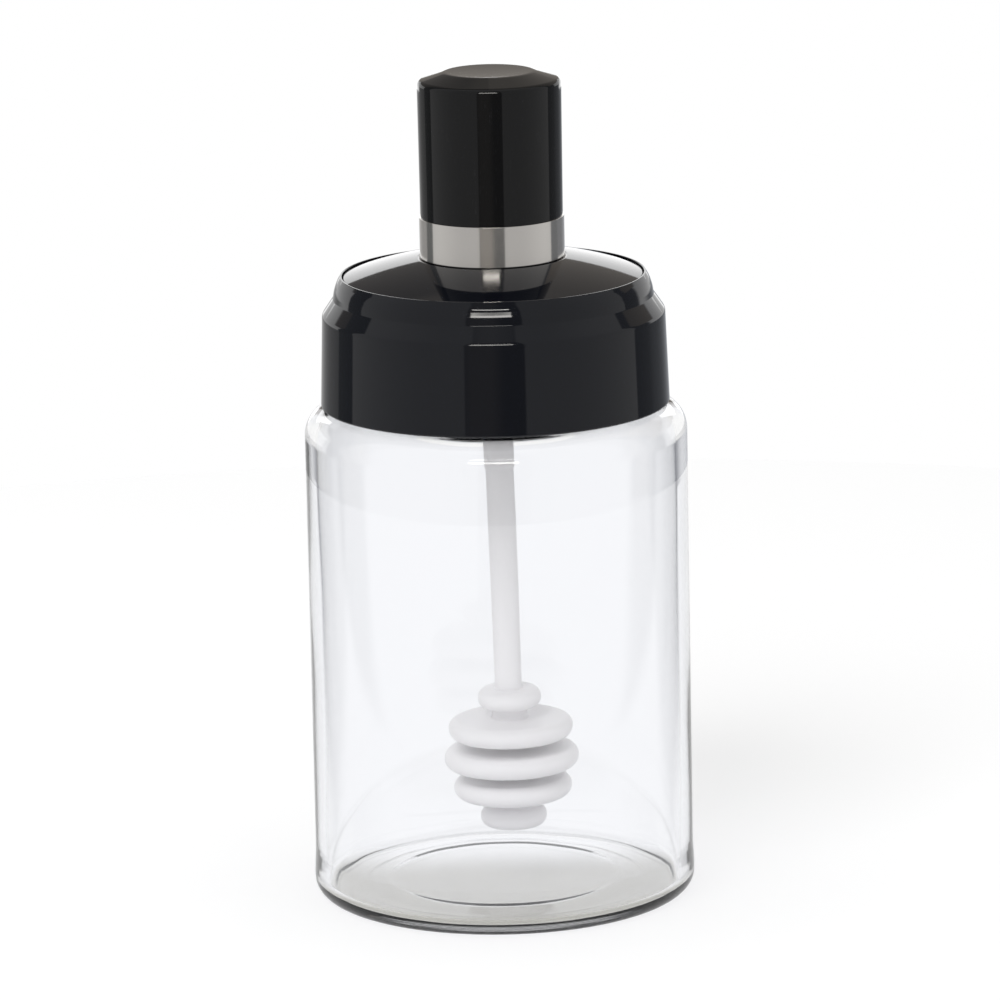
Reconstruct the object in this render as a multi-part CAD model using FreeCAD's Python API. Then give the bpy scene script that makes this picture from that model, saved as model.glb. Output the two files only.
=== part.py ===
"""Glass honey jar with a black collar and a lift-out stopper that carries a dipper.

Millimetres, +Z up. The origin is the centre of the jar's foot, on the surface it
stands on. Every piece is turned about the jar's upright axis, except the dipper,
which leans a little towards +X in its socket.
"""
import FreeCAD
import Part
import math
import os

# ---- driving dimensions ------------------------------------------------------

# Glass jar
BODY_RADIUS = 32.6
BODY_WALL = 2.2
FLOOR_THICKNESS = 1.8
FLOOR_CORNER_ROUND = 1.9
HEEL_BULGE = 0.2
HEEL_BULGE_HEIGHT = 4.0
HEEL_ROUND = 2.9
FOOT_RING_WIDTH = 8.2
PUSH_UP_DEPTH = 0.5
PUSH_UP_SLOPE = 4.8
PUSH_UP_ROUND = 9.0
SHOULDER_HEIGHT = 85.3
SHOULDER_ROUND = 4.7
SHOULDER_WALL = 2.6
NECK_RADIUS = 26.9
NECK_WALL = 2.6
NECK_LENGTH = 15.3
NECK_ROOT_ROUND = 0.6
THROAT_ROUND = 1.6
LIP_ROUND = 1.0

# Collar round the neck
COLLAR_NECK_CLEARANCE = 0.3
COLLAR_SHOULDER_GAP = 0.3
COLLAR_SKIRT_HEIGHT = 15.7
COLLAR_FOOT_WALL = 2.5
COLLAR_SKIRT_WALL = 1.95
COLLAR_SKIRT_ROUND = 1.2
COLLAR_CONE_HEIGHT = 2.8
COLLAR_CONE_WALL = 1.6
COLLAR_RIM_HEIGHT = 2.2
COLLAR_RIM_WALL = 0.95
COLLAR_RIM_ROUND = 3.0
COLLAR_LIP_HEIGHT = 1.6
COLLAR_LIP_WALL = 0.3
COLLAR_EDGE_ROUND = 0.3
COLLAR_WEB = 2.0
COLLAR_WEB_OVERHANG = 1.7

# Stopper, which rests on the collar's web
STOPPER_INSET = 1.7
STOPPER_SIDE_CLEARANCE = 0.15
STOPPER_RIM_DROP = 0.3
STOPPER_SKIRT_WALL = 1.8
STOPPER_SHELL = 2.0
STOPPER_EDGE_ROUND = 0.25
DOME_RISE = 4.3
SEAT_DEPTH = 0.12
SOCKET_LENGTH = 21.0
SOCKET_WALL = 3.0

# Knob
KNOB_RADIUS = 12.08
KNOB_FLARE = 0.11
KNOB_HEIGHT = 24.6
KNOB_EDGE_ROUND = 1.0
KNOB_CROWN_RISE = 1.38
KNOB_RIM_RADIUS = 8.0
KNOB_RIM_ROUND = 1.2
KNOB_DISH_DEPTH = 0.15
KNOB_PEG_RADIUS = 4.5
KNOB_PEG_LENGTH = 3.0
KNOB_PEG_CLEARANCE = 0.05

# Steel band round the knob's waist
BAND_PROUD = 0.21
BAND_WALL = 0.5
BAND_HEIGHT = 7.1
BAND_EDGE_ROUND = 0.15
BAND_CLEARANCE = 0.05

# Dipper
DIPPER_LEAN_DEG = 1.15
DIPPER_FLOOR_CLEARANCE = 8.8
SHANK_RADIUS = 2.55
SHANK_CLEARANCE = 0.05
SHANK_GRIP = 12.0
SHANK_SHOWING = 10.75
SHANK_STEP = 0.75
ROD_RADIUS = 2.36
RING_RADII = (5.6, 10.7, 11.6, 10.2, 5.7)
RING_PITCH = 5.25
RING_THICKNESS = 3.4
CORE_RADIUS = 3.1

# ---- places worked out from the sizes above ----------------------------------

NECK_TOP = SHOULDER_HEIGHT + NECK_LENGTH
MOUTH_RADIUS = NECK_RADIUS - NECK_WALL
COLLAR_BORE_RADIUS = NECK_RADIUS + COLLAR_NECK_CLEARANCE
STOPPER_RADIUS = COLLAR_BORE_RADIUS - STOPPER_INSET
RECESS_RADIUS = STOPPER_RADIUS + STOPPER_SIDE_CLEARANCE

COLLAR_FOOT = SHOULDER_HEIGHT + COLLAR_SHOULDER_GAP
LEDGE_HEIGHT = NECK_TOP + COLLAR_WEB
SKIRT_TOP = COLLAR_FOOT + COLLAR_SKIRT_HEIGHT
CONE_TOP = SKIRT_TOP + COLLAR_CONE_HEIGHT
RIM_TOP = CONE_TOP + COLLAR_RIM_HEIGHT
COLLAR_TOP = RIM_TOP + COLLAR_LIP_HEIGHT

DOME_RIM = COLLAR_TOP - STOPPER_RIM_DROP
DOME_CROWN = DOME_RIM + DOME_RISE
DOME_BALL_RADIUS = (STOPPER_RADIUS ** 2 + DOME_RISE ** 2) / (2 * DOME_RISE)
DOME_BALL_CENTRE = DOME_CROWN - DOME_BALL_RADIUS

BAND_RADIUS = KNOB_RADIUS + BAND_PROUD
BAND_BORE_RADIUS = BAND_RADIUS - BAND_WALL
SEAT_RADIUS = BAND_RADIUS + BAND_CLEARANCE
SEAT_EDGE = DOME_BALL_CENTRE + math.sqrt(DOME_BALL_RADIUS ** 2 - SEAT_RADIUS ** 2)
BAND_FOOT = SEAT_EDGE - SEAT_DEPTH
KNOB_FOOT = BAND_FOOT + BAND_HEIGHT
KNOB_TOP = KNOB_FOOT + KNOB_HEIGHT
PEG_FOOT = BAND_FOOT - KNOB_PEG_LENGTH

SOCKET_BORE_RADIUS = SHANK_RADIUS + SHANK_CLEARANCE
SOCKET_MOUTH = DOME_RIM - SOCKET_LENGTH
DIPPER_TOP = SOCKET_MOUTH + SHANK_GRIP
FLOOR_TOP = PUSH_UP_DEPTH + FLOOR_THICKNESS
DIPPER_FOOT = FLOOR_TOP + DIPPER_FLOOR_CLEARANCE

SHORTEST_EDGE = 1e-6


# ---- ways of making shapes ---------------------------------------------------

def rounded_loop(corners):
    """Closed wire in the XZ plane from corners given as (x, z, radius of the round)."""
    count = len(corners)
    points = [FreeCAD.Vector(x, 0, z) for x, z, _ in corners]
    lengths = [(points[(i + 1) % count] - points[i]).Length for i in range(count)]
    half_angles = []
    for i in range(count):
        back = points[i - 1] - points[i]
        ahead = points[(i + 1) % count] - points[i]
        half_angles.append(0.5 * back.getAngle(ahead))
    reaches = [corners[i][2] / math.tan(half_angles[i]) for i in range(count)]

    # Rounds that share a side too short for both of them shrink together.
    shrinks = [
        min(1, 0.98 * lengths[i] / max(reaches[i] + reaches[(i + 1) % count], SHORTEST_EDGE))
        for i in range(count)
    ]
    reaches = [reaches[i] * min(shrinks[i - 1], shrinks[i]) for i in range(count)]

    starts = []
    ends = []
    for i in range(count):
        back = (points[i - 1] - points[i]).normalize()
        ahead = (points[(i + 1) % count] - points[i]).normalize()
        starts.append(points[i] + back * reaches[i])
        ends.append(points[i] + ahead * reaches[i])

    edges = []
    for i in range(count):
        if reaches[i] > SHORTEST_EDGE:
            inward = (starts[i] + ends[i] - points[i] * 2).normalize()
            radius = reaches[i] * math.tan(half_angles[i])
            middle = points[i] + inward * (radius / math.sin(half_angles[i]) - radius)
            edges.append(Part.Arc(starts[i], middle, ends[i]).toShape())
        following = starts[(i + 1) % count]
        if (following - ends[i]).Length > SHORTEST_EDGE:
            edges.append(Part.LineSegment(ends[i], following).toShape())
    return Part.Wire(edges)


def turned(corners):
    """Solid turned about the Z axis from a closed outline of rounded corners."""
    face = Part.Face(rounded_loop(corners))
    return face.revolve(FreeCAD.Vector(0, 0, 0), FreeCAD.Vector(0, 0, 1), 360)


def upright_cylinder(radius, foot, height):
    """Cylinder on the Z axis that starts at the height foot."""
    return Part.makeCylinder(radius, height, FreeCAD.Vector(0, 0, foot))


def leaning(shape):
    """The shape leant about the dipper's top, so that its lower end moves to +X."""
    pivot = FreeCAD.Vector(0, 0, DIPPER_TOP)
    return shape.rotate(pivot, FreeCAD.Vector(0, 1, 0), -DIPPER_LEAN_DEG)


# ---- the pieces --------------------------------------------------------------

def glass_jar():
    """Moulded jar: pushed-up foot, rounded heel, straight body, shoulder, plain neck.

    The floor is as thick everywhere, so its inside rises where its underside does."""
    inner_radius = BODY_RADIUS - BODY_WALL
    heel_radius = BODY_RADIUS + HEEL_BULGE
    foot_inner_radius = heel_radius - FOOT_RING_WIDTH
    push_up_radius = foot_inner_radius - PUSH_UP_SLOPE
    ceiling = SHOULDER_HEIGHT - SHOULDER_WALL
    return turned([
        (0, PUSH_UP_DEPTH, 0),
        (push_up_radius, PUSH_UP_DEPTH, PUSH_UP_ROUND),
        (foot_inner_radius, 0, PUSH_UP_ROUND),
        (heel_radius, 0, HEEL_ROUND),
        (heel_radius, HEEL_BULGE_HEIGHT, HEEL_ROUND),
        (BODY_RADIUS, 2 * HEEL_BULGE_HEIGHT, HEEL_ROUND),
        (BODY_RADIUS, SHOULDER_HEIGHT, SHOULDER_ROUND),
        (NECK_RADIUS, SHOULDER_HEIGHT, NECK_ROOT_ROUND),
        (NECK_RADIUS, NECK_TOP, LIP_ROUND),
        (MOUTH_RADIUS, NECK_TOP, LIP_ROUND),
        (MOUTH_RADIUS, ceiling, THROAT_ROUND),
        (inner_radius, ceiling, SHOULDER_ROUND - BODY_WALL),
        (inner_radius, FLOOR_THICKNESS, FLOOR_CORNER_ROUND),
        (foot_inner_radius, FLOOR_THICKNESS, PUSH_UP_ROUND),
        (push_up_radius, FLOOR_TOP, PUSH_UP_ROUND),
        (0, FLOOR_TOP, 0),
    ])


def collar():
    """Tapered skirt, cone, rim and lip, with a web on the neck that holds the stopper."""
    opening_radius = MOUTH_RADIUS - COLLAR_WEB_OVERHANG
    return turned([
        (COLLAR_BORE_RADIUS + COLLAR_FOOT_WALL, COLLAR_FOOT, COLLAR_EDGE_ROUND),
        (COLLAR_BORE_RADIUS + COLLAR_SKIRT_WALL, SKIRT_TOP, COLLAR_SKIRT_ROUND),
        (RECESS_RADIUS + COLLAR_CONE_WALL, CONE_TOP, COLLAR_EDGE_ROUND),
        (RECESS_RADIUS + COLLAR_RIM_WALL, RIM_TOP, COLLAR_RIM_ROUND),
        (RECESS_RADIUS + COLLAR_LIP_WALL, COLLAR_TOP, COLLAR_EDGE_ROUND),
        (RECESS_RADIUS, COLLAR_TOP, 0),
        (RECESS_RADIUS, LEDGE_HEIGHT, 0),
        (opening_radius, LEDGE_HEIGHT, COLLAR_EDGE_ROUND),
        (opening_radius, NECK_TOP, COLLAR_EDGE_ROUND),
        (COLLAR_BORE_RADIUS, NECK_TOP, 0),
        (COLLAR_BORE_RADIUS, COLLAR_FOOT, COLLAR_EDGE_ROUND),
    ])


def stopper():
    """Domed shell on a short skirt, with a seat for band and knob and a dipper socket."""
    skirt_inner_radius = STOPPER_RADIUS - STOPPER_SKIRT_WALL
    socket_radius = SOCKET_BORE_RADIUS + SOCKET_WALL
    shell_under = DOME_RIM - STOPPER_SHELL
    blank = turned([
        (0, DOME_CROWN, 0),
        (STOPPER_RADIUS, DOME_CROWN, 0),
        (STOPPER_RADIUS, LEDGE_HEIGHT, STOPPER_EDGE_ROUND),
        (skirt_inner_radius, LEDGE_HEIGHT, STOPPER_EDGE_ROUND),
        (skirt_inner_radius, shell_under, STOPPER_EDGE_ROUND),
        (socket_radius, shell_under, STOPPER_EDGE_ROUND),
        (socket_radius, SOCKET_MOUTH, STOPPER_EDGE_ROUND),
        (0, SOCKET_MOUTH, 0),
    ])
    dome_ball = Part.makeSphere(DOME_BALL_RADIUS, FreeCAD.Vector(0, 0, DOME_BALL_CENTRE))
    peg_bore_radius = KNOB_PEG_RADIUS + KNOB_PEG_CLEARANCE
    cuts = [
        upright_cylinder(SEAT_RADIUS, BAND_FOOT, DOME_CROWN - BAND_FOOT),
        upright_cylinder(peg_bore_radius, PEG_FOOT, KNOB_PEG_LENGTH),
        leaning(upright_cylinder(SOCKET_BORE_RADIUS, DIPPER_TOP - 2 * SHANK_GRIP, 2 * SHANK_GRIP)),
    ]
    return blank.common(dome_ball).cut(cuts).Solids[0]


def steel_band():
    """Rolled sleeve that stands in the stopper's seat, under the edge of the knob."""
    return turned([
        (BAND_BORE_RADIUS, BAND_FOOT, 0),
        (BAND_RADIUS, BAND_FOOT, BAND_EDGE_ROUND),
        (BAND_RADIUS, KNOB_FOOT, BAND_EDGE_ROUND),
        (BAND_BORE_RADIUS, KNOB_FOOT, 0),
    ])


def knob():
    """Grip with a dished crown, a waist inside the band and a peg into the stopper."""
    waist_radius = BAND_BORE_RADIUS - BAND_CLEARANCE
    return turned([
        (0, PEG_FOOT, 0),
        (KNOB_PEG_RADIUS, PEG_FOOT, 0),
        (KNOB_PEG_RADIUS, BAND_FOOT, 0),
        (waist_radius, BAND_FOOT, 0),
        (waist_radius, KNOB_FOOT, 0),
        (KNOB_RADIUS, KNOB_FOOT, BAND_EDGE_ROUND),
        (KNOB_RADIUS + KNOB_FLARE, KNOB_TOP - KNOB_CROWN_RISE, KNOB_EDGE_ROUND),
        (KNOB_RIM_RADIUS, KNOB_TOP, KNOB_RIM_ROUND),
        (0, KNOB_TOP - KNOB_DISH_DEPTH, 0),
    ])


def dipper():
    """One moulding: shank in the socket, bevelled step, thin rod and a ringed head."""
    half_ring = RING_THICKNESS / 2
    step_top = SOCKET_MOUTH - SHANK_SHOWING
    outline = [
        (0, DIPPER_FOOT, 0),
        (0, DIPPER_TOP, 0),
        (SHANK_RADIUS, DIPPER_TOP, 0),
        (SHANK_RADIUS, step_top, SHANK_STEP / 4),
        (ROD_RADIUS, step_top - SHANK_STEP, SHANK_STEP / 4),
    ]
    groove_radius = ROD_RADIUS
    for rings_below, radius in reversed(list(enumerate(reversed(RING_RADII)))):
        middle = DIPPER_FOOT + half_ring + RING_PITCH * rings_below
        outline += [
            (groove_radius, middle + half_ring, half_ring / 4),
            (radius, middle + half_ring, half_ring),
            (radius, middle - half_ring, half_ring),
        ]
        groove_radius = CORE_RADIUS
        if rings_below > 0:
            outline.append((groove_radius, middle - half_ring, half_ring / 4))
    return leaning(turned(outline))


PIECES = {
    "glass_jar": glass_jar,
    "collar": collar,
    "stopper": stopper,
    "steel_band": steel_band,
    "knob": knob,
    "dipper": dipper,
}

os.makedirs("parts", exist_ok=True)
for name, make in PIECES.items():
    piece = make()
    piece.exportStep(f"parts/{name}.step")
    print(f"{name}: {piece.Volume / 1000:.2f} cm3, valid {piece.isValid()}")
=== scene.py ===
import math
import bpy
from mathutils import Matrix, Vector


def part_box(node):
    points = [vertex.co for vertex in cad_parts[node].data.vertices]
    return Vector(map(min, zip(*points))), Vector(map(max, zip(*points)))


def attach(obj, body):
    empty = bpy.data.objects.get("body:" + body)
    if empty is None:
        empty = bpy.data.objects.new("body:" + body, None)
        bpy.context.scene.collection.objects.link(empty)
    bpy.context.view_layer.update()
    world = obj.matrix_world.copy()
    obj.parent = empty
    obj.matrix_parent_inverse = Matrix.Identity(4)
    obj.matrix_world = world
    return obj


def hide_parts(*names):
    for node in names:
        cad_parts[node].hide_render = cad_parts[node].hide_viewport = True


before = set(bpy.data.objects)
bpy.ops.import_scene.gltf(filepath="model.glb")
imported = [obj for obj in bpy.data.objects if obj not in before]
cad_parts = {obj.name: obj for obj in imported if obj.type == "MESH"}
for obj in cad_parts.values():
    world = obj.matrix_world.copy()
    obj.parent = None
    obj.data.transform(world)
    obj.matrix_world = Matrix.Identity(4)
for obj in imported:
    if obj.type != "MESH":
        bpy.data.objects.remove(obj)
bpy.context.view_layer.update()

MM = 0.001

# ---- Camera ------------------------------------------------------------------
# A long lens, a little over a metre in front of the jar. It looks down by about
# thirteen degrees and is turned a touch about its own line of sight.
CAMERA_DISTANCE = 1092.2 * MM
CAMERA_HEIGHT = 317.5 * MM
CAMERA_PITCH = math.radians(12.851)
CAMERA_YAW = math.radians(0.023)
CAMERA_ROLL = math.radians(1.169)
LENS_LENGTH = 235.93
SENSOR_WIDTH = 36.0
NEAREST_SEEN = 50 * MM

camera_data = bpy.data.cameras.new("camera")
camera_data.lens = LENS_LENGTH
camera_data.sensor_width = SENSOR_WIDTH
camera_data.clip_start = NEAREST_SEEN
camera = bpy.data.objects.new("camera", camera_data)
camera_turn = (
    Matrix.Rotation(-CAMERA_YAW, 4, "Z")
    @ Matrix.Rotation(math.pi / 2 - CAMERA_PITCH, 4, "X")
    @ Matrix.Rotation(-CAMERA_ROLL, 4, "Z")
)
camera.matrix_world = Matrix.Translation((0, -CAMERA_DISTANCE, CAMERA_HEIGHT)) @ camera_turn
bpy.context.scene.collection.objects.link(camera)
bpy.context.scene.camera = camera
bpy.context.scene.view_settings.view_transform = "Standard"


# ---- Studio: the room that glass, steel and gloss plastic reflect ------------
# A product table with a white sweep behind it, a long pale screen at each side,
# a dark gap in front where the camera stands, and two narrow lamps above the camera.
# Dull surfaces are lit by an even white room instead, so that they keep their colour.
# Seen through glass the room is the white background, with a grey stretch at each side
# that draws the jar's edges.
ROOM_LIGHT = 0.80
GLASS_BRIGHTEST = 1.12
GLASS_WHITE = (0.96, 0.97, 1.00, 1.0)
GLASS_GREY = "#808289"
GREY_FROM_DEG = 95
GREY_TO_DEG = 150
GREY_SOFT_DEG = 20
PAST_THE_BACK_DEG = 200
SCREEN_EDGES = (
    # azimuth from and to, its softness, elevation from and to, its softness (degrees,
    # azimuth 0 is towards the camera and + to the right), colour seen, strength
    (-200, 200, 1, -100, 100, 1, "#ffffff", 0.13),
    (-20, 2, 12, -100, 57, 4, "#fffaf4", 0.25),
    (-109, -20, 1.5, -100, 57, 4, "#ffffff", 0.45),
    (20, 108, 1.5, -100, 57, 4, "#ffffff", 0.45),
    (-120, -70, 60, -100, 57, 4, "#ffffff", 0.55),
    (70, 120, 60, -100, 57, 4, "#ffffff", 0.55),
    (-200, -109, 1.5, -100, 100, 4, "#f0f4f6", 0.15),
    (108, 200, 1.5, -100, 100, 4, "#f0f4fa", 0.18),
    (-200, -127, 1.5, -100, 15, 2, "#ffffff", 0.30),
    (-200, -165, 50, -100, 15, 2, "#ffffff", 0.75),
    (128, 200, 6, -100, 15, 2, "#f4f8ff", 0.21),
    (165, 200, 50, -100, 15, 2, "#f4f8ff", 0.65),
    (-200, -127, 2, -5, 15, 3, "#ffffff", 1.00),
    (128, 200, 6, -5, 15, 3, "#ffffff", 1.00),
    (-200, -127, 2, 15, 100, 2, "#fdf6f0", 0.22),
    (115, 200, 2, 15, 100, 2, "#fdf4ea", 0.36),
    (-200, -165, 2, -5, 4, 1, "#ffffff", 1.70),
    (165, 200, 2, -5, 4, 1, "#ffffff", 1.70),
    (-200, -165, 2, 4, 15, 1, "#fdf4ea", 0.40),
    (165, 200, 2, 4, 15, 1, "#fdf4ea", 0.40),
    (-200, -150, 8, 42, 57, 6, "#fdf4ea", 0.36),
    (150, 200, 8, 42, 57, 6, "#fdf4ea", 0.40),
    (-109, 108, 4, 57, 100, 6, "#ffffff", 0.60),
    (-17, 13, 1, 18, 25, 1, "#fffdf8", 12.0),
    (-17, 12, 1, 34, 35.5, 0.5, "#fffdf8", 20.0),
)


def linear(hex_colour):
    """The linear red, green, blue and alpha of an sRGB hex colour."""
    channels = [int(hex_colour[i:i + 2], 16) / 255 for i in (1, 3, 5)]
    return [c / 12.92 if c <= 0.04045 else ((c + 0.055) / 1.055) ** 2.4 for c in channels] + [1.0]


def add_node(tree, kind, inputs=None, **settings):
    """Add a node, set its properties, and link or set its inputs by name or number."""
    node = tree.nodes.new(kind)
    for name, value in settings.items():
        setattr(node, name, value)
    for key, value in (inputs or {}).items():
        if isinstance(value, bpy.types.NodeSocket):
            tree.links.new(value, node.inputs[key])
        else:
            node.inputs[key].default_value = value
    return node


def between(tree, value, low, high, softness):
    """1 where a value lies between two limits and 0 elsewhere, with soft edges."""
    half = softness / 2
    rise = add_node(tree, "ShaderNodeMapRange", {0: value, 1: low - half, 2: low + half},
                    interpolation_type="SMOOTHSTEP")
    fall = add_node(tree, "ShaderNodeMapRange", {0: value, 1: high + half, 2: high - half},
                    interpolation_type="SMOOTHSTEP")
    both = add_node(tree, "ShaderNodeMath", {0: rise.outputs[0], 1: fall.outputs[0]},
                    operation="MULTIPLY")
    return both.outputs[0]


world = bpy.data.worlds.new("studio")
world.use_nodes = True
world.node_tree.nodes.clear()
bpy.context.scene.world = world
sky = world.node_tree

direction = add_node(sky, "ShaderNodeSeparateXYZ",
                     {0: add_node(sky, "ShaderNodeTexCoord").outputs["Generated"]})
toward_camera = add_node(sky, "ShaderNodeMath", {0: direction.outputs["Y"], 1: -1.0},
                         operation="MULTIPLY")
azimuth_turn = add_node(sky, "ShaderNodeMath",
                        {0: direction.outputs["X"], 1: toward_camera.outputs[0]},
                        operation="ARCTAN2")
azimuth = add_node(sky, "ShaderNodeMath", {0: azimuth_turn.outputs[0]}, operation="DEGREES")
height_turn = add_node(sky, "ShaderNodeMath", {0: direction.outputs["Z"]}, operation="ARCSINE")
elevation = add_node(sky, "ShaderNodeMath", {0: height_turn.outputs[0]}, operation="DEGREES")

room = None
for az_low, az_high, az_soft, el_low, el_high, el_soft, colour, strength in SCREEN_EDGES:
    shade = [c * strength for c in linear(colour)[:3]] + [1.0]
    if room is None:
        room = add_node(sky, "ShaderNodeMix", {0: 1.0, 6: shade, 7: shade}, data_type="RGBA")
        continue
    across = between(sky, azimuth.outputs[0], az_low, az_high, az_soft)
    upright = between(sky, elevation.outputs[0], el_low, el_high, el_soft)
    cover = add_node(sky, "ShaderNodeMath", {0: across, 1: upright}, operation="MULTIPLY")
    room = add_node(sky, "ShaderNodeMix", {0: cover.outputs[0], 6: room.outputs[2], 7: shade},
                    data_type="RGBA")

# Through glass the lamps are held down, and what is dark is raised to the background.
ray = add_node(sky, "ShaderNodeLightPath")
dimmed = add_node(sky, "ShaderNodeVectorMath",
                  {0: room.outputs[2], 1: (GLASS_BRIGHTEST,) * 3}, operation="MINIMUM")
turned_away = add_node(sky, "ShaderNodeMath", {0: azimuth.outputs[0]}, operation="ABSOLUTE")
behind = between(sky, turned_away.outputs[0], GREY_TO_DEG, PAST_THE_BACK_DEG, GREY_SOFT_DEG)
before = between(sky, turned_away.outputs[0], -GREY_SOFT_DEG, GREY_FROM_DEG, GREY_SOFT_DEG)
bright = add_node(sky, "ShaderNodeMath", {0: behind, 1: before}, operation="MAXIMUM")
least = add_node(sky, "ShaderNodeMix",
                 {0: bright.outputs[0], 6: linear(GLASS_GREY), 7: GLASS_WHITE},
                 data_type="RGBA")
evened = add_node(sky, "ShaderNodeVectorMath",
                  {0: dimmed.outputs[0], 1: least.outputs[2]}, operation="MAXIMUM")
mirrored = add_node(sky, "ShaderNodeMix",
                    {0: ray.outputs["Is Transmission Ray"], 6: room.outputs[2],
                     7: evened.outputs[0]}, data_type="RGBA")

# Gloss, steel and glass see this room, dull surfaces an even one, and the camera white.
bent_or_mirrored = add_node(sky, "ShaderNodeMath",
                            {0: ray.outputs["Is Glossy Ray"],
                             1: ray.outputs["Is Transmission Ray"]}, operation="MAXIMUM")
even = [ROOM_LIGHT] * 3 + [1.0]
unseen = add_node(sky, "ShaderNodeMix",
                  {0: bent_or_mirrored.outputs[0], 6: even, 7: mirrored.outputs[2]},
                  data_type="RGBA")
backdrop = add_node(sky, "ShaderNodeMix",
                    {0: ray.outputs["Is Camera Ray"], 6: unseen.outputs[2],
                     7: [1.0, 1.0, 1.0, 1.0]}, data_type="RGBA")
glow = add_node(sky, "ShaderNodeBackground", {"Color": backdrop.outputs[2]})
add_node(sky, "ShaderNodeOutputWorld", {"Surface": glow.outputs[0]})

# The lamp that gives dull surfaces their form and the floor its shadow. The room
# above already holds its reflection, so mirrors and glass don't see it twice.
LAMP_POWER = 4.2
LAMP_SIZE = 0.5
LAMP_PLACE = Vector((-0.35, -0.75, 0.95))
LAMP_AIM = Vector((0, 0, 0.06))
lamp_data = bpy.data.lights.new("softbox", "AREA")
lamp_data.energy = LAMP_POWER
lamp_data.size = LAMP_SIZE
lamp = bpy.data.objects.new("softbox", lamp_data)
lamp.matrix_world = (
    Matrix.Translation(LAMP_PLACE)
    @ (LAMP_AIM - LAMP_PLACE).to_track_quat("-Z", "Y").to_matrix().to_4x4()
)
lamp.visible_camera = False
lamp.visible_glossy = False
lamp.visible_transmission = False
bpy.context.scene.collection.objects.link(lamp)

# Floor: a round sheet of matt white card, the start of the sweep. It glows only for
# the camera, by as much as it takes to be white outside the shadow. The jar's glass
# sees it as it sees the room, white with a grey wedge at each side. Under the front
# half of the jar's foot, where the foot keeps the light off, glass sees a darker
# colour painted on as shade.
FLOOR_RADIUS = 340 * MM
FLOOR_DROP = 0.05 * MM
FLOOR_EDGE_POINTS = 128
FLOOR_COLOUR = "#f4f4f4"
FLOOR_GLOW = 0.16
# Painted shade: the darker card colour that glass sees under the jar's foot.
FLOOR_PAINTED_SHADE = "#cccbc3"
PAINTED_SHADE_RIM_START = 30 * MM
PAINTED_SHADE_RIM_END = 36 * MM
PAINTED_SHADE_BACK_START = 2 * MM
PAINTED_SHADE_BACK_END = 22 * MM
WHITE_HALF_WIDTH = 60 * MM
WHITE_BACK_SPREAD = 0.6
WHITE_FRONT_SPREAD = 0.27
WHITE_SOFTNESS = 30 * MM

floor_mesh = bpy.data.meshes.new("floor")
rim = [
    (FLOOR_RADIUS * math.cos(2 * math.pi * i / FLOOR_EDGE_POINTS),
     FLOOR_RADIUS * math.sin(2 * math.pi * i / FLOOR_EDGE_POINTS), -FLOOR_DROP)
    for i in range(FLOOR_EDGE_POINTS)
]
floor_mesh.from_pydata(rim, [], [range(FLOOR_EDGE_POINTS)])
floor = bpy.data.objects.new("floor", floor_mesh)
bpy.context.scene.collection.objects.link(floor)

card = bpy.data.materials.new("matt white card")
card.use_nodes = True
card.node_tree.nodes.clear()
card_ray = add_node(card.node_tree, "ShaderNodeLightPath")
card_place = add_node(card.node_tree, "ShaderNodeTexCoord").outputs["Object"]

# Painted shade mask: 1 outside the foot or behind the jar's axis, where no shade is painted on.
card_distance = add_node(card.node_tree, "ShaderNodeVectorMath", {0: card_place},
                         operation="LENGTH")
card_rim = add_node(card.node_tree, "ShaderNodeMapRange",
                    {0: card_distance.outputs["Value"], 1: PAINTED_SHADE_RIM_START, 2: PAINTED_SHADE_RIM_END},
                    interpolation_type="SMOOTHSTEP")
card_depth = add_node(card.node_tree, "ShaderNodeSeparateXYZ", {0: card_place})
card_back = add_node(card.node_tree, "ShaderNodeMapRange",
                     {0: card_depth.outputs["Y"], 1: PAINTED_SHADE_BACK_START, 2: PAINTED_SHADE_BACK_END},
                     interpolation_type="SMOOTHSTEP")
card_no_painted_shade = add_node(card.node_tree, "ShaderNodeMath",
                     {0: card_rim.outputs[0], 1: card_back.outputs[0]}, operation="MAXIMUM")

# Matt card that glows for the camera. For what glass sees, its colour is a darker painted shade.
card_colour_and_painted_shade = add_node(card.node_tree, "ShaderNodeMix",
                       {0: card_ray.outputs["Is Transmission Ray"], 6: linear(FLOOR_COLOUR),
                        7: linear(FLOOR_PAINTED_SHADE)}, data_type="RGBA")
card_matt = add_node(card.node_tree, "ShaderNodeBsdfDiffuse",
                     {"Color": card_colour_and_painted_shade.outputs[2]})
card_glow = add_node(card.node_tree, "ShaderNodeMath",
                     {0: card_ray.outputs["Is Camera Ray"], 1: FLOOR_GLOW},
                     operation="MULTIPLY")
card_light = add_node(card.node_tree, "ShaderNodeEmission", {"Strength": card_glow.outputs[0]})
card_sum = add_node(card.node_tree, "ShaderNodeAddShader",
                    {0: card_light.outputs[0], 1: card_matt.outputs[0]})

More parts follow.
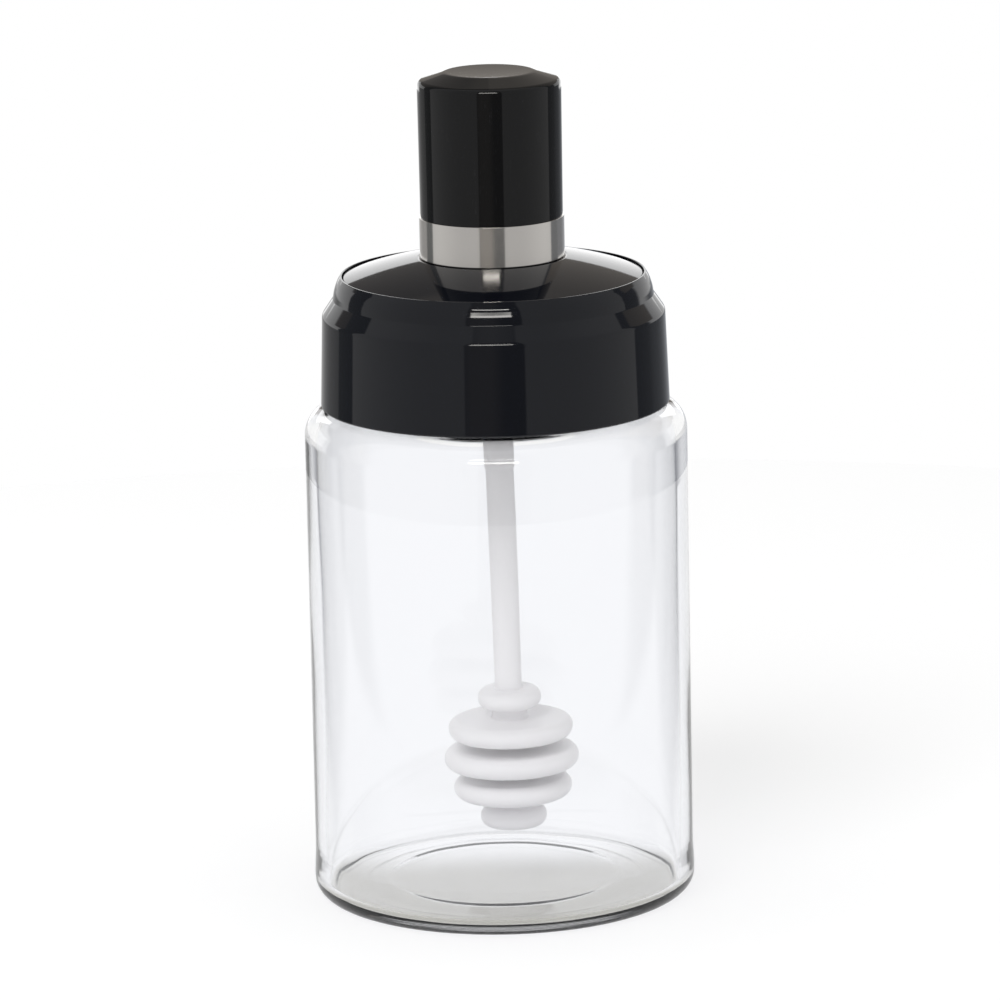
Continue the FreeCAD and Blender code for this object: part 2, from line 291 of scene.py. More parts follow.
# Outside the painted shade, glass sees it evenly white, but for a grey wedge at each side.
card_in_glass = add_node(card.node_tree, "ShaderNodeMath",
                         {0: card_ray.outputs["Is Transmission Ray"],
                          1: card_no_painted_shade.outputs[0]}, operation="MULTIPLY")
card_side = add_node(card.node_tree, "ShaderNodeMath", {0: card_depth.outputs["X"]},
                     operation="ABSOLUTE")
card_spread = add_node(card.node_tree, "ShaderNodeMath",
                       {0: card_depth.outputs["Y"], 1: -WHITE_BACK_SPREAD,
                        2: card_side.outputs[0]}, operation="MULTIPLY_ADD")
card_behind = between(card.node_tree, card_spread.outputs[0], -2 * FLOOR_RADIUS,
                      WHITE_HALF_WIDTH, WHITE_SOFTNESS)
card_level = add_node(card.node_tree, "ShaderNodeMath",
                      {0: card_side.outputs[0], 1: -WHITE_FRONT_SPREAD,
                       2: card_depth.outputs["Y"]}, operation="MULTIPLY_ADD")
card_before = between(card.node_tree, card_level.outputs[0], -2 * FLOOR_RADIUS, 0,
                      WHITE_SOFTNESS)
card_bright = add_node(card.node_tree, "ShaderNodeMath", {0: card_behind, 1: card_before},
                       operation="MAXIMUM")
card_room = add_node(card.node_tree, "ShaderNodeMix",
                     {0: card_bright.outputs[0], 6: linear(GLASS_GREY), 7: GLASS_WHITE},
                     data_type="RGBA")
card_even = add_node(card.node_tree, "ShaderNodeEmission", {"Color": card_room.outputs[2]})
card_mix = add_node(card.node_tree, "ShaderNodeMixShader",
                    {0: card_in_glass.outputs[0], 1: card_sum.outputs[0],
                     2: card_even.outputs[0]})
add_node(card.node_tree, "ShaderNodeOutputMaterial", {"Surface": card_mix.outputs[0]})
floor_mesh.materials.append(card)

# The near edge of the sweep: a low curved white screen close behind the jar. Only
# gloss and steel see it, so that the dome mirrors its white and the knob's crown,
# which looks over its top, doesn't.
SWEEP_RADIUS = 165 * MM
SWEEP_LOW = 113 * MM
SWEEP_HIGH = 157 * MM
SWEEP_HALF_ANGLE = math.radians(35)
SWEEP_STEPS = 24
SWEEP_GLOW = 1.75

sweep_mesh = bpy.data.meshes.new("sweep")
sweep_points = []
for step in range(SWEEP_STEPS + 1):
    angle = SWEEP_HALF_ANGLE * (2 * step / SWEEP_STEPS - 1)
    for height in (SWEEP_LOW, SWEEP_HIGH):
        sweep_points.append((SWEEP_RADIUS * math.sin(angle), SWEEP_RADIUS * math.cos(angle),
                             height))
sweep_mesh.from_pydata(sweep_points, [], [
    (2 * i, 2 * i + 1, 2 * i + 3, 2 * i + 2) for i in range(SWEEP_STEPS)
])
sweep = bpy.data.objects.new("sweep", sweep_mesh)
bpy.context.scene.collection.objects.link(sweep)
sweep.visible_camera = False
sweep.visible_diffuse = False
sweep.visible_transmission = False
sweep.visible_shadow = False
screen = bpy.data.materials.new("lit white screen")
screen.use_nodes = True
screen.node_tree.nodes.clear()
screen_light = add_node(screen.node_tree, "ShaderNodeEmission", {"Strength": SWEEP_GLOW})
add_node(screen.node_tree, "ShaderNodeOutputMaterial", {"Surface": screen_light.outputs[0]})
sweep_mesh.materials.append(screen)


# ---- Glass jar ---------------------------------------------------------------
# Straight-sided jar of clear soda-lime glass, press-and-blow moulded: a slightly
# raised middle in its floor, rounded heel, square shoulder and a neck that the collar
# covers. It stands on its foot ring, and it is empty.
WALL = 2.2
FLOOR_THICKNESS = 1.8
PUNT_RISE = 0.5
PUNT_SHOULDER = 19.8
PUNT_FOOT = 24.6
PUNT_ROUND = 9.0
SHOULDER_BELOW_RIM = 15.3
SHOULDER_ROUND = 4.7
SHOULDER_WALL = 1.6
CEILING_ROUND = 3.7
NECK_RADIUS = 26.9
NECK_WALL = 2.6
NECK_FOOT_ROUND = 0.6
NECK_RIM_ROUND = 1.0
THROAT_ROUND = 1.6
HEEL_BULGE = 0.2
HEEL_HEIGHT = 4.0
HEEL_ROUND = 2.9
FLOOR_CORNER_ROUND = 1.9
JAR_DIVISIONS = 256

# The plunger leaves the inside of the glass a little wavy, in long upright swells.
WAVE_HEIGHT = 0.25 * MM
WAVE_LENGTH = 14 * MM
WAVE_STRETCH = (1, 1, 0.3)
WAVE_SEED = 3.0
WAVE_REACH = 2.0

# How finely outlines are drawn: the turn of each step in a round, how close the points
# stand that guard a run's ends, and the longest run between two points.
ARC_STEP = math.radians(7)
GUARD = 0.05
LONGEST_RUN = 4.0
MOST_OF_A_SIDE = 0.98
SHORTEST = 1e-6
MERGE_DISTANCE = 1e-6


def outline(corners, closed=False):
    """Fine points along an outline of corners (radius, height, round) in millimetres.

    Rounds become short steps, and straight runs get a point close to each end, so that
    smooth shading stays flat between them."""
    count = len(corners)
    points = [Vector(corner[:2]) for corner in corners]
    runs = [(points[(i + 1) % count] - points[i]).length for i in range(count)]
    halves = []
    reaches = []
    for i, corner in enumerate(corners):
        on_end = not closed and i in (0, count - 1)
        back = points[i - 1] - points[i]
        ahead = points[(i + 1) % count] - points[i]
        halves.append(math.pi / 2 if on_end else back.angle(ahead) / 2)
        reaches.append(0.0 if on_end else corner[2] / math.tan(halves[i]))

    # Rounds that share a side too short for both of them shrink together.
    shrinks = [
        min(1, MOST_OF_A_SIDE * runs[i] / max(reaches[i] + reaches[(i + 1) % count], SHORTEST))
        for i in range(count)
    ]
    reaches = [reaches[i] * min(shrinks[i - 1], shrinks[i]) for i in range(count)]

    fine = []
    for i in range(count):
        if reaches[i] > 0:
            back = (points[i - 1] - points[i]).normalized()
            ahead = (points[(i + 1) % count] - points[i]).normalized()
            radius = reaches[i] * math.tan(halves[i])
            centre = points[i] + (back + ahead).normalized() * radius / math.sin(halves[i])
            start = points[i] + back * reaches[i] - centre
            turn = math.pi - 2 * halves[i]
            side = 1 if start.y * back.x - start.x * back.y > 0 else -1
            steps = max(2, math.ceil(turn / ARC_STEP))
            for step in range(steps + 1):
                angle = side * turn * step / steps
                fine.append(centre + Vector((
                    start.x * math.cos(angle) - start.y * math.sin(angle),
                    start.x * math.sin(angle) + start.y * math.cos(angle))))
        else:
            fine.append(points[i])
        if i == count - 1 and not closed:
            break
        following = points[(i + 1) % count]
        ahead = (following - points[i]).normalized()
        first = fine[-1]
        last = following - ahead * reaches[(i + 1) % count]
        length = (last - first).length
        if length > 4 * GUARD:
            pieces = max(1, math.ceil(length / LONGEST_RUN))
            fine.append(first + ahead * GUARD)
            fine += [first + ahead * length * k / pieces for k in range(1, pieces)]
            fine.append(last - ahead * GUARD)
    if closed:
        fine.append(fine[0])
    return [tuple(point) for point in fine]


def turning_tree():
    """Geometry nodes that turn an outline in the XZ plane about the Z axis."""
    tree = bpy.data.node_groups.new("turning", "GeometryNodeTree")
    face = tree.interface
    face.new_socket("Outline", in_out="INPUT", socket_type="NodeSocketGeometry")
    face.new_socket("Divisions", in_out="INPUT", socket_type="NodeSocketInt")
    face.new_socket("Wave Height", in_out="INPUT", socket_type="NodeSocketFloat")
    face.new_socket("Wave Length", in_out="INPUT", socket_type="NodeSocketFloat")
    face.new_socket("Wave Seed", in_out="INPUT", socket_type="NodeSocketFloat")
    face.new_socket("Finish", in_out="INPUT", socket_type="NodeSocketMaterial")
    face.new_socket("Piece", in_out="OUTPUT", socket_type="NodeSocketGeometry")
    given = add_node(tree, "NodeGroupInput").outputs

    # A grid with one row for each outline point and one column for each division.
    size = add_node(tree, "GeometryNodeAttributeDomainSize", {"Geometry": given["Outline"]})
    columns = add_node(tree, "FunctionNodeIntegerMath", {0: given["Divisions"], 1: 1},
                       operation="ADD")
    grid = add_node(tree, "GeometryNodeMeshGrid",
                    {"Vertices X": size.outputs["Point Count"],
                     "Vertices Y": columns.outputs[0]})
    index = add_node(tree, "GeometryNodeInputIndex")
    row = add_node(tree, "FunctionNodeIntegerMath",
                   {0: index.outputs[0], 1: columns.outputs[0]}, operation="DIVIDE_FLOOR")
    column = add_node(tree, "FunctionNodeIntegerMath",
                      {0: index.outputs[0], 1: columns.outputs[0]}, operation="MODULO")
    place = add_node(tree, "GeometryNodeSampleIndex",
                     {"Geometry": given["Outline"],
                      "Value": add_node(tree, "GeometryNodeInputPosition").outputs[0],
                      "Index": row.outputs[0]}, data_type="FLOAT_VECTOR")
    share = add_node(tree, "ShaderNodeMath", {0: column.outputs[0], 1: given["Divisions"]},
                     operation="DIVIDE")
    angle = add_node(tree, "ShaderNodeMath", {0: share.outputs[0], 1: 2 * math.pi},
                     operation="MULTIPLY")
    turned = add_node(tree, "ShaderNodeVectorRotate",
                      {"Vector": place.outputs[0], "Angle": angle.outputs[0]},
                      rotation_type="Z_AXIS")

    # Where the outline is marked wavy, the wall swells and thins at random.
    wavy = add_node(tree, "GeometryNodeInputNamedAttribute", {"Name": "wavy"},
                    data_type="FLOAT")
    marked = add_node(tree, "GeometryNodeSampleIndex",
                      {"Geometry": given["Outline"], "Value": wavy.outputs[0],
                       "Index": row.outputs[0]}, data_type="FLOAT")
    pitch = add_node(tree, "ShaderNodeMath", {0: 1.0, 1: given["Wave Length"]},
                     operation="DIVIDE")
    drawn = add_node(tree, "ShaderNodeVectorMath", {0: turned.outputs[0], 1: WAVE_STRETCH},
                     operation="MULTIPLY")
    noise = add_node(tree, "ShaderNodeTexNoise",
                     {"Vector": drawn.outputs[0], "W": given["Wave Seed"],
                      "Scale": pitch.outputs[0], "Detail": 1.0}, noise_dimensions="4D")
    swing = add_node(tree, "ShaderNodeMath", {0: noise.outputs[0], 1: 0.5},
                     operation="SUBTRACT")
    swell = add_node(tree, "ShaderNodeMath", {0: swing.outputs[0], 1: given["Wave Height"]},
                     operation="MULTIPLY")
    swell = add_node(tree, "ShaderNodeMath", {0: swell.outputs[0], 1: marked.outputs[0]},
                     operation="MULTIPLY")
    outward = add_node(tree, "ShaderNodeVectorMath", {0: turned.outputs[0], 1: (1, 1, 0)},
                       operation="MULTIPLY")
    outward = add_node(tree, "ShaderNodeVectorMath", {0: outward.outputs[0]},
                       operation="NORMALIZE")
    shift = add_node(tree, "ShaderNodeVectorMath",
                     {0: outward.outputs[0], "Scale": swell.outputs[0]}, operation="SCALE")
    ends = add_node(tree, "ShaderNodeVectorMath",
                    {0: turned.outputs[0], 1: shift.outputs[0]}, operation="ADD")

    shaped = add_node(tree, "GeometryNodeSetPosition",
                      {"Geometry": grid.outputs["Mesh"], "Position": ends.outputs[0]})
    closed = add_node(tree, "GeometryNodeMergeByDistance",
                      {"Geometry": shaped.outputs[0], "Distance": MERGE_DISTANCE})
    outside = add_node(tree, "GeometryNodeFlipFaces", {"Mesh": closed.outputs[0]})
    smooth = add_node(tree, "GeometryNodeSetShadeSmooth", {"Geometry": outside.outputs[0]})
    whole = add_node(tree, "GeometryNodeRealizeInstances", {"Geometry": smooth.outputs[0]})
    finished = add_node(tree, "GeometryNodeSetMaterial",
                        {"Geometry": whole.outputs[0], "Material": given["Finish"]})
    add_node(tree, "NodeGroupOutput", {"Piece": finished.outputs[0]})
    return tree


TURNING = turning_tree()


def turn(name, points, finish, divisions, wavy=None, **sizes):
    """Turn an outline given in millimetres into a plain mesh object.

    wavy gives how far the waves show at a radius and height, from 0 to 1."""
    mesh = bpy.data.meshes.new(name)
    steps = [(i, i + 1) for i in range(len(points) - 1)]
    mesh.from_pydata([(r * MM, 0, z * MM) for r, z in points], steps, [])
    marks = mesh.attributes.new("wavy", "FLOAT", "POINT")
    for mark, (radius, height) in zip(marks.data, points):
        mark.value = wavy(radius, height) if wavy else 0.0
    piece = bpy.data.objects.new(name, mesh)
    bpy.context.scene.collection.objects.link(piece)
    modifier = piece.modifiers.new("turning", "NODES")
    modifier.node_group = TURNING
    values = {"Divisions": divisions, "Finish": finish, "Wave Length": WAVE_LENGTH}
    values.update({key.replace("_", " ").title(): value for key, value in sizes.items()})
    for socket in TURNING.interface.items_tree:
        if socket.in_out == "INPUT" and socket.name in values:
            modifier[socket.identifier] = values[socket.name]
    graph = bpy.context.evaluated_depsgraph_get()
    piece_mesh = bpy.data.meshes.new_from_object(piece.evaluated_get(graph))
    piece.modifiers.remove(modifier)
    piece.data = piece_mesh
    piece_mesh.name = name
    piece_mesh.materials.pop(index=0)
    return piece


# Soda-lime glass: index 1.52, fire-polished from the mould, so its surface is clear and
# bright, with a faint grey where it is thick. Light passes to what is inside it, so it
# throws only a pale shadow.
GLASS_TINT = "#dbdbda"
GLASS_DENSITY = 20.0
GLASS_SHADOW = "#fbfbfc"
GLASS_INDEX = 1.52

glass = bpy.data.materials.new("clear soda-lime glass")
glass.use_nodes = True
glass.node_tree.nodes.clear()
glass_ray = add_node(glass.node_tree, "ShaderNodeLightPath")
glass_body = add_node(glass.node_tree, "ShaderNodeBsdfPrincipled",
                      {"Base Color": (1, 1, 1, 1), "Roughness": 0.0, "IOR": GLASS_INDEX,
                       "Transmission Weight": 1.0})
glass_clear = add_node(glass.node_tree, "ShaderNodeBsdfTransparent",
                       {"Color": linear(GLASS_SHADOW)})
glass_passes = add_node(glass.node_tree, "ShaderNodeMath",
                        {0: glass_ray.outputs["Is Shadow Ray"],
                         1: glass_ray.outputs["Is Diffuse Ray"]}, operation="MAXIMUM")
glass_mix = add_node(glass.node_tree, "ShaderNodeMixShader",
                     {0: glass_passes.outputs[0], 1: glass_body.outputs[0],
                      2: glass_clear.outputs[0]})
glass_tint = add_node(glass.node_tree, "ShaderNodeVolumeAbsorption",
                      {"Color": linear(GLASS_TINT), "Density": GLASS_DENSITY})
add_node(glass.node_tree, "ShaderNodeOutputMaterial",
         {"Surface": glass_mix.outputs[0], "Volume": glass_tint.outputs[0]})

jar_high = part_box("glass_jar")[1]
heel_radius = jar_high.x / MM
body_radius = heel_radius - HEEL_BULGE
neck_top = jar_high.z / MM
shoulder = neck_top - SHOULDER_BELOW_RIM
ceiling = shoulder - SHOULDER_WALL
throat = NECK_RADIUS - NECK_WALL

jar_outline = outline([
    (0, PUNT_RISE, 0),
    (PUNT_SHOULDER, PUNT_RISE, PUNT_ROUND),
    (PUNT_FOOT, 0, PUNT_ROUND),
    (heel_radius, 0, HEEL_ROUND),
    (heel_radius, HEEL_HEIGHT, HEEL_ROUND),
    (body_radius, 2 * HEEL_HEIGHT, HEEL_ROUND),
    (body_radius, shoulder, SHOULDER_ROUND),
    (NECK_RADIUS, shoulder, NECK_FOOT_ROUND),
    (NECK_RADIUS, neck_top, NECK_RIM_ROUND),
    (throat, neck_top, NECK_RIM_ROUND),
    (throat, ceiling, THROAT_ROUND),
    (body_radius - WALL, ceiling, CEILING_ROUND),
    (body_radius - WALL, FLOOR_THICKNESS, FLOOR_CORNER_ROUND),
    (PUNT_FOOT, FLOOR_THICKNESS, PUNT_ROUND),
    (PUNT_SHOULDER, FLOOR_THICKNESS + PUNT_RISE, PUNT_ROUND),
    (0, FLOOR_THICKNESS + PUNT_RISE, 0),
])


def jar_is_wavy(radius, height):
    """The plunger shapes the inside least evenly: the inner wall and the floor's edge."""
    inner = body_radius - WALL + GUARD
    inside = FLOOR_THICKNESS - GUARD < height < ceiling and radius < inner
    return 1.0 if inside and radius > throat - WAVE_REACH else 0.0


jar = turn("moulded_jar", jar_outline, glass, JAR_DIVISIONS, wavy=jar_is_wavy,
           wave_height=WAVE_HEIGHT, wave_seed=WAVE_SEED)
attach(jar, "root")
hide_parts("glass_jar")


# ---- Collar ------------------------------------------------------------------
# Injection-moulded ABS ring, gloss black, pushed on over the neck: a tapered skirt,
# a cone, a rounded rim and a thin lip round the stopper's recess.
NECK_CLEARANCE = 0.3
SKIRT_HEIGHT = 15.7
FOOT_WALL = 2.5
SKIRT_WALL = 1.95
SKIRT_ROUND = 1.2
CONE_HEIGHT = 2.8
CONE_WALL = 1.6
RIM_LOW_HEIGHT = 1.3
RIM_LOW_WALL = 1.38
RIM_HEIGHT = 2.7
RIM_WALL = 0.92
RIM_ROUND = 5.0
LIP_WALL = 0.3
EDGE_ROUND = 0.3
WEB = 2.0
WEB_OVERHANG = 1.7
RECESS_CLEARANCE = 0.15
LID_DIVISIONS = 256

# Gloss black ABS from a polished mould: a black mirror with a trace of ripple and a
# little dust. Its index is set below the 1.54 of ABS, to keep the mirror images faint.
BLACK = "#0b0d13"
ABS_INDEX = 1.47
ABS_ROUGHNESS = 0.05
RIPPLE_LENGTH = 6 * MM
RIPPLE_DEPTH = 0.004 * MM
RIPPLE_STRENGTH = 0.15
DUST_SIZE = 0.5 * MM
DUST_ROUGHNESS = 3 * ABS_ROUGHNESS
DUST_FROM = 0.55
DUST_FULL = 0.8

black = bpy.data.materials.new("polished black ABS")
black.use_nodes = True
black.node_tree.nodes.clear()
black_place = add_node(black.node_tree, "ShaderNodeTexCoord").outputs["Object"]
black_ripple = add_node(black.node_tree, "ShaderNodeTexNoise",
                        {"Vector": black_place, "Scale": 1 / RIPPLE_LENGTH, "Detail": 1.0})
black_bump = add_node(black.node_tree, "ShaderNodeBump",
                      {"Height": black_ripple.outputs[0], "Strength": RIPPLE_STRENGTH,
                       "Distance": RIPPLE_DEPTH})
black_dust = add_node(black.node_tree, "ShaderNodeTexNoise",
                      {"Vector": black_place, "Scale": 1 / DUST_SIZE, "Detail": 3.0,
                       "Roughness": 0.7})
black_haze = add_node(black.node_tree, "ShaderNodeMapRange",
                      {0: black_dust.outputs[0], 1: DUST_FROM, 2: DUST_FULL,
                       3: ABS_ROUGHNESS, 4: DUST_ROUGHNESS})
black_body = add_node(black.node_tree, "ShaderNodeBsdfPrincipled",
                      {"Base Color": linear(BLACK), "Roughness": black_haze.outputs[0],
                       "IOR": ABS_INDEX, "Normal": black_bump.outputs[0]})
add_node(black.node_tree, "ShaderNodeOutputMaterial", {"Surface": black_body.outputs[0]})

collar_low, collar_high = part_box("collar")
stopper_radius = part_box("stopper")[1].x / MM
collar_foot = collar_low.z / MM
collar_top = collar_high.z / MM
collar_bore = NECK_RADIUS + NECK_CLEARANCE
recess = stopper_radius + RECESS_CLEARANCE
ledge = neck_top + WEB
skirt_top = collar_foot + SKIRT_HEIGHT
cone_top = skirt_top + CONE_HEIGHT

collar_outline = outline([
    (collar_bore + FOOT_WALL, collar_foot, EDGE_ROUND),
    (collar_bore + SKIRT_WALL, skirt_top, SKIRT_ROUND),
    (recess + CONE_WALL, cone_top, EDGE_ROUND),
    (recess + RIM_LOW_WALL, cone_top + RIM_LOW_HEIGHT, RIM_ROUND),
    (recess + RIM_WALL, cone_top + RIM_HEIGHT, RIM_ROUND),
    (recess + LIP_WALL, collar_top, LIP_WALL / 3),
    (recess, collar_top, LIP_WALL / 3),
    (recess, ledge, 0),
    (throat - WEB_OVERHANG, ledge, EDGE_ROUND),
    (throat - WEB_OVERHANG, neck_top, EDGE_ROUND),
    (collar_bore, neck_top, 0),
    (collar_bore, collar_foot, EDGE_ROUND),
], closed=True)

collar = turn("neck_collar", collar_outline, black, LID_DIVISIONS)
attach(collar, "root")
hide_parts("collar")


# ---- Stopper -----------------------------------------------------------------
# A domed cap of the same black ABS with a short skirt, dropped into the collar's
# recess. A round seat in its crown takes the band, and a socket below holds the dipper.
DOME_RISE = 4.3
RIM_DROP = 0.3
STOPPER_SKIRT = 1.8
STOPPER_SHELL = 2.0
STOPPER_EDGE = 0.25
DOME_EDGE_ROUND = 0.35
SEAT_CLEARANCE = 0.05
SOCKET_WALL = 3.0
SHANK_RADIUS = 2.55
SHANK_CLEARANCE = 0.05
SHANK_GRIP = 12.0
DOME_STEPS = 24
DOME_INSET = 1.0

band_low, band_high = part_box("steel_band")
band_radius = band_high.x / MM
band_foot = band_low.z / MM
band_top = band_high.z / MM
dome_rim = collar_top - RIM_DROP
socket_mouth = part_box("stopper")[0].z / MM
socket_radius = SHANK_RADIUS + SHANK_CLEARANCE + SOCKET_WALL
ball_radius = (stopper_radius ** 2 + DOME_RISE ** 2) / (2 * DOME_RISE)
ball_centre = dome_rim + DOME_RISE - ball_radius


def dome_height(radius):
    """Height of the dome at a distance from its axis."""
    return ball_centre + math.sqrt(ball_radius ** 2 - radius ** 2)


seat_radius = band_radius + SEAT_CLEARANCE
dome_outer = stopper_radius - DOME_INSET
dome_points = [
    (radius, dome_height(radius))
    for radius in (
        seat_radius + (dome_outer - seat_radius) * step / DOME_STEPS
        for step in range(DOME_STEPS)
    )
]
bore = SHANK_RADIUS + SHANK_CLEARANCE
stopper_side = outline([
    (dome_outer, dome_height(dome_outer), 0),
    (stopper_radius, dome_rim, DOME_EDGE_ROUND),
    (stopper_radius, ledge, STOPPER_EDGE),
    (stopper_radius - STOPPER_SKIRT, ledge, STOPPER_EDGE),
    (stopper_radius - STOPPER_SKIRT, dome_rim - STOPPER_SHELL, STOPPER_EDGE),
    (socket_radius, dome_rim - STOPPER_SHELL, STOPPER_EDGE),
    (socket_radius, socket_mouth, STOPPER_EDGE),
    (bore, socket_mouth, STOPPER_EDGE),
    (bore, socket_mouth + SHANK_GRIP, 0),
    (0, socket_mouth + SHANK_GRIP, 0),
])
stopper_seat = outline([
    (0, band_foot, 0),
    (seat_radius, band_foot, 0),
    (seat_radius, dome_height(seat_radius), 0),
])
stopper_outline = (stopper_seat[:-1] + dome_points + stopper_side)[::-1]
stopper = turn("domed_stopper", stopper_outline, black, LID_DIVISIONS)
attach(stopper, "root")
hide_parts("stopper")


# ---- Steel band --------------------------------------------------------------
# A strip of stainless steel rolled round the knob's waist and turned bright, with fine
# lines round it. It stands in the stopper's seat. Its butted seam is too fine to draw.
BAND_WALL = 0.5
BAND_EDGE = 0.05
BAND_FOOT_EDGE = 0.28

# Stainless steel, turned and brushed round: it mirrors the room, drawn out upwards by
# fine lines, which are drawn as coarse as it takes to show.
STEEL_COLOUR = "#eae6e1"
STEEL_ROUGHNESS = 0.13
STEEL_ANISOTROPY = 0.6
QUARTER_TURN = 0.25
BRUSH_LINE = 0.12 * MM
BRUSH_STRETCH = (0.03, 0.03, 1.0)
BRUSH_DEPTH = 0.004 * MM
BRUSH_STRENGTH = 0.2

steel = bpy.data.materials.new("brushed stainless steel")
steel.use_nodes = True
steel.node_tree.nodes.clear()
steel_place = add_node(steel.node_tree, "ShaderNodeTexCoord").outputs["Object"]
steel_stretch = add_node(steel.node_tree, "ShaderNodeVectorMath",
                         {0: steel_place, 1: BRUSH_STRETCH}, operation="MULTIPLY")
steel_lines = add_node(steel.node_tree, "ShaderNodeTexNoise",
                       {"Vector": steel_stretch.outputs[0], "Scale": 1 / BRUSH_LINE,
                        "Detail": 2.0})
steel_bump = add_node(steel.node_tree, "ShaderNodeBump",
                      {"Height": steel_lines.outputs[0], "Strength": BRUSH_STRENGTH,
                       "Distance": BRUSH_DEPTH})
steel_body = add_node(steel.node_tree, "ShaderNodeBsdfPrincipled",
                      {"Base Color": linear(STEEL_COLOUR), "Metallic": 1.0,
                       "Roughness": STEEL_ROUGHNESS, "Anisotropic": STEEL_ANISOTROPY,
                       "Anisotropic Rotation": QUARTER_TURN,
                       "Normal": steel_bump.outputs[0]})
add_node(steel.node_tree, "ShaderNodeOutputMaterial", {"Surface": steel_body.outputs[0]})

band_outline = outline([
    (band_radius - BAND_WALL, band_foot, 0),
    (band_radius, band_foot, BAND_FOOT_EDGE),
    (band_radius, band_top, BAND_EDGE),
    (band_radius - BAND_WALL, band_top, 0),
], closed=True)
band = turn("rolled_band", band_outline, steel, LID_DIVISIONS)
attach(band, "root")
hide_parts("steel_band")


# ---- Knob --------------------------------------------------------------------
# The black ABS grip, moulded with a shallow dish in its crown and a waist that fills the
# band. A peg below glues it into the stopper, and isn't drawn, because nothing shows it.
KNOB_FLARE = 0.11
KNOB_EDGE = 1.0
CROWN_RISE = 1.38
CROWN_RIM_RADIUS = 7.6
CROWN_RIM_ROUND = 2.5
DISH_DEPTH = 0.15
DISH_INSET = 1.0
DISH_STEPS = 12
ROUNDED_OFF = 0.018
WAIST_CLEARANCE = 0.05
KNOB_BELOW_BAND = 0.21

# The same ABS, a little less glossy from handling: fine upright scratches and dust. The
# scratches are drawn as coarse as it takes to show.
GRIP_BLACK = "#09090a"
GRIP_DUST = "#1c1c1e"
GRIP_INDEX = 1.43
SCRATCH_WIDTH = 0.18 * MM
SCRATCH_STRETCH = (1.0, 1.0, 0.04)
SCRATCH_ROUGHNESS = 4 * ABS_ROUGHNESS
MARKS_FROM = 0.33
MARKS_FULL = 0.5

grip = bpy.data.materials.new("handled black ABS")
grip.use_nodes = True
grip.node_tree.nodes.clear()
grip_place = add_node(grip.node_tree, "ShaderNodeTexCoord").outputs["Object"]
grip_stretch = add_node(grip.node_tree, "ShaderNodeVectorMath",
                        {0: grip_place, 1: SCRATCH_STRETCH}, operation="MULTIPLY")
grip_scratches = add_node(grip.node_tree, "ShaderNodeTexNoise",
                          {"Vector": grip_stretch.outputs[0], "Scale": 1 / SCRATCH_WIDTH,
                           "Detail": 2.0})
grip_dust = add_node(grip.node_tree, "ShaderNodeTexNoise",
                     {"Vector": grip_place, "Scale": 1 / DUST_SIZE, "Detail": 3.0,
                      "Roughness": 0.7})
grip_marks = add_node(grip.node_tree, "ShaderNodeMath",
                      {0: grip_scratches.outputs[0], 1: grip_dust.outputs[0]},
                      operation="MULTIPLY")
grip_cover = add_node(grip.node_tree, "ShaderNodeMapRange",
                      {0: grip_marks.outputs[0], 1: MARKS_FROM, 2: MARKS_FULL})
grip_colour = add_node(grip.node_tree, "ShaderNodeMix",
                       {0: grip_cover.outputs[0], 6: linear(GRIP_BLACK), 7: linear(GRIP_DUST)},
                       data_type="RGBA")
grip_haze = add_node(grip.node_tree, "ShaderNodeMapRange",
                     {0: grip_marks.outputs[0], 1: MARKS_FROM, 2: MARKS_FULL,
                      3: ABS_ROUGHNESS, 4: SCRATCH_ROUGHNESS})
grip_body = add_node(grip.node_tree, "ShaderNodeBsdfPrincipled",
                     {"Base Color": grip_colour.outputs[2], "Roughness": grip_haze.outputs[0],
                      "IOR": GRIP_INDEX})
add_node(grip.node_tree, "ShaderNodeOutputMaterial", {"Surface": grip_body.outputs[0]})

knob_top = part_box("knob")[1].z / MM + ROUNDED_OFF
knob_radius = band_radius - KNOB_BELOW_BAND
waist = band_radius - BAND_WALL - WAIST_CLEARANCE
dish_ball = (CROWN_RIM_RADIUS ** 2 + DISH_DEPTH ** 2) / (2 * DISH_DEPTH)


def dish_height(radius):
    """Height of the crown's shallow bowl at a distance from its axis."""
    return knob_top - DISH_DEPTH + dish_ball - math.sqrt(dish_ball ** 2 - radius ** 2)


dish_edge = CROWN_RIM_RADIUS - DISH_INSET
knob_outline = outline([
    (0, band_foot, 0),
    (waist, band_foot, 0),
    (waist, band_top, 0),
    (knob_radius, band_top, BAND_EDGE),
    (knob_radius + KNOB_FLARE, knob_top - CROWN_RISE, KNOB_EDGE),
    (CROWN_RIM_RADIUS, knob_top, CROWN_RIM_ROUND),
    (dish_edge, dish_height(dish_edge), 0),
]) + [
    (dish_edge * (1 - step / DISH_STEPS), dish_height(dish_edge * (1 - step / DISH_STEPS)))
    for step in range(1, DISH_STEPS + 1)
]
knob = turn("grip_knob", knob_outline, grip, LID_DIVISIONS)
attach(knob, "root")
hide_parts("knob")


# ---- Dipper ------------------------------------------------------------------
# One moulding of milky polypropylene: a shank pressed into the stopper's socket, a
# thin rod, and a head of five rings that holds the honey. It hangs a little askew.
LEAN = math.radians(1.15)
DIPPER_FOOT = 11.1
SHANK_SHOWING = 10.75
SHANK_STEP = 0.75
ROD_RADIUS = 2.36
CORE_RADIUS = 3.1
RING_RADII = (5.6, 10.7, 11.6, 10.2, 5.7)
RING_PITCH = 5.25
RING_THICKNESS = 3.4
DIPPER_DIVISIONS = 160

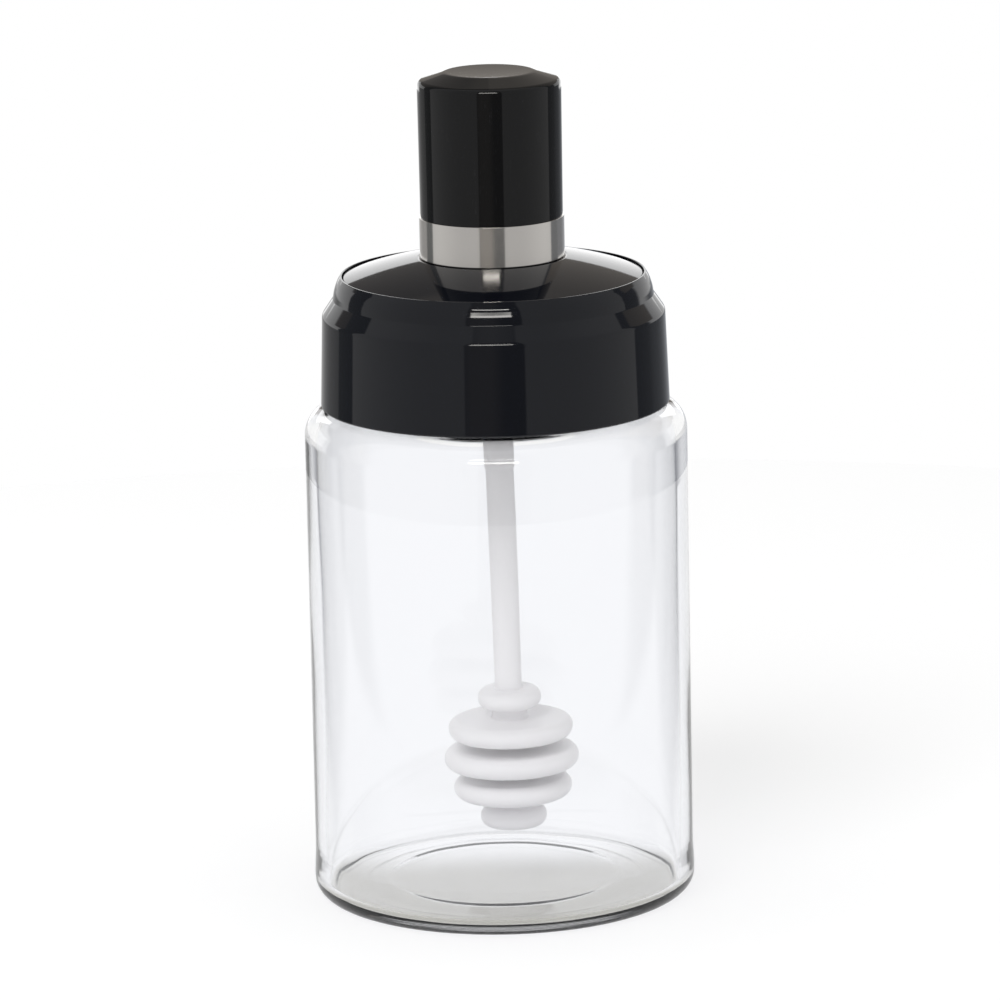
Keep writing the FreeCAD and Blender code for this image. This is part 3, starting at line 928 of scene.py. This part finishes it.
# Milky polypropylene: index 1.49, satin from the mould, and light travels a few
# millimetres inside it, which softens its shadows.
MILKY_WHITE = "#f3f2f3"
MILKY_INDEX = 1.49
MILKY_ROUGHNESS = 0.35
MILKY_DEPTH = 4.0 * MM
MILKY_SHARE = 0.6
GRAIN_SIZE = 0.8 * MM
GRAIN_DEPTH = 0.01 * MM
GRAIN_STRENGTH = 0.2

milky = bpy.data.materials.new("milky polypropylene")
milky.use_nodes = True
milky.node_tree.nodes.clear()
milky_place = add_node(milky.node_tree, "ShaderNodeTexCoord").outputs["Object"]
milky_grain = add_node(milky.node_tree, "ShaderNodeTexNoise",
                       {"Vector": milky_place, "Scale": 1 / GRAIN_SIZE, "Detail": 2.0})
milky_bump = add_node(milky.node_tree, "ShaderNodeBump",
                      {"Height": milky_grain.outputs[0], "Strength": GRAIN_STRENGTH,
                       "Distance": GRAIN_DEPTH})
milky_body = add_node(milky.node_tree, "ShaderNodeBsdfPrincipled",
                      {"Base Color": linear(MILKY_WHITE), "Roughness": MILKY_ROUGHNESS,
                       "IOR": MILKY_INDEX, "Subsurface Weight": MILKY_SHARE,
                       "Subsurface Radius": (1.0, 1.0, 1.0),
                       "Subsurface Scale": MILKY_DEPTH, "Normal": milky_bump.outputs[0]})
add_node(milky.node_tree, "ShaderNodeOutputMaterial", {"Surface": milky_body.outputs[0]})

dipper_top = socket_mouth + SHANK_GRIP
half_ring = RING_THICKNESS / 2
step_top = socket_mouth - SHANK_SHOWING
dipper_corners = [
    (0, dipper_top, 0),
    (SHANK_RADIUS, dipper_top, 0),
    (SHANK_RADIUS, step_top, SHANK_STEP / 4),
    (ROD_RADIUS, step_top - SHANK_STEP, SHANK_STEP / 4),
]
groove_radius = ROD_RADIUS
for below, radius in reversed(list(enumerate(reversed(RING_RADII)))):
    middle = DIPPER_FOOT + half_ring + RING_PITCH * below
    dipper_corners += [
        (groove_radius, middle + half_ring, half_ring / 4),
        (radius, middle + half_ring, half_ring),
        (radius, middle - half_ring, half_ring),
    ]
    groove_radius = CORE_RADIUS
    if below > 0:
        dipper_corners.append((groove_radius, middle - half_ring, half_ring / 4))
dipper_corners.append((0, DIPPER_FOOT, 0))

dipper = turn("honey_dipper", outline(dipper_corners)[::-1], milky, DIPPER_DIVISIONS)
lean_point = Vector((0, 0, dipper_top * MM))
dipper.data.transform(
    Matrix.Translation(lean_point) @ Matrix.Rotation(-LEAN, 4, "Y")
    @ Matrix.Translation(-lean_point)
)
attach(dipper, "root")
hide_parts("dipper")
